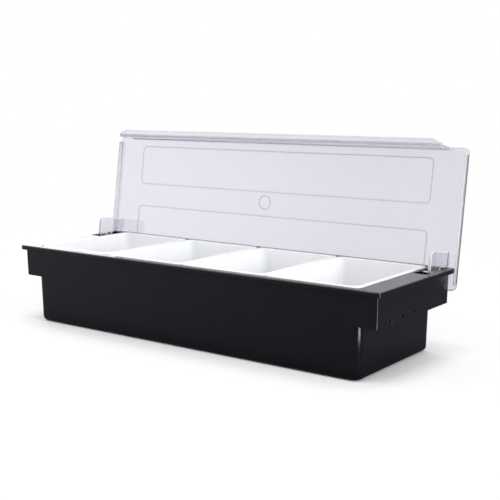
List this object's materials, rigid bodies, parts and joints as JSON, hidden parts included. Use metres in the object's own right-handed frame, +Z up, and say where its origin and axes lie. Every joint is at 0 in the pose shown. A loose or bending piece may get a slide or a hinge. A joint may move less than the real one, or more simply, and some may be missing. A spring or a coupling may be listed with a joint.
{
  "type": "condiment server",
  "caption": "Long glossy black tub with hollow end grips that keeps lift-out white food inserts chilled under a clear hinged lid with a finger lip.",
  "frame": {"origin": "under the middle of the tub, on the table it stands on", "axes": "+X along the length to the right, +Y from the front to the hinge side, +Z up"},
  "size_m": [0.4834, 0.181, 0.2199],
  "materials": {
    "black_plastic": "glossy",
    "clear_plastic": "clear",
    "white_plastic": "satin",
    "steel": "brushed",
    "rubber_pad": "matte",
    "pack_plastic": "satin",
    "gel": "wet",
    "plug_plastic": "satin"
  },
  "bodies": {
    "base": {"base_tub": "black_plastic", "hinge_pin_left": "steel", "hinge_pin_right": "steel", "foot_front_left": "rubber_pad", "foot_front_right": "rubber_pad", "foot_back_left": "rubber_pad", "foot_back_right": "rubber_pad", "cold_pack_left": "pack_plastic", "cold_gel_left": "gel", "filler_plug_left": "plug_plastic", "cold_pack_right": "pack_plastic", "cold_gel_right": "gel", "filler_plug_right": "plug_plastic"},
    "lid": {"lid": "clear_plastic"},
    "insert_1": {"insert_1": "white_plastic"},
    "insert_2": {"insert_2": "white_plastic"},
    "insert_3": {"insert_3": "white_plastic"},
    "insert_4": {"insert_4": "white_plastic"}
  },
  "joints": [
    {"name": "lid_hinge", "type": "hinge", "parent": "base", "child": "lid", "pos_m": [0, 0.052, 0.0862], "axis": [-1, 0, 0], "range_deg": [-98.6, 0]},
    {"name": "insert_1_lift", "type": "slide", "parent": "base", "child": "insert_1", "axis": [0, 0, 1], "range_m": [0, 0.09]},
    {"name": "insert_2_lift", "type": "slide", "parent": "base", "child": "insert_2", "axis": [0, 0, 1], "range_m": [0, 0.09]},
    {"name": "insert_3_lift", "type": "slide", "parent": "base", "child": "insert_3", "axis": [0, 0, 1], "range_m": [0, 0.09]},
    {"name": "insert_4_lift", "type": "slide", "parent": "base", "child": "insert_4", "axis": [0, 0, 1], "range_m": [0, 0.09]}
  ]
}
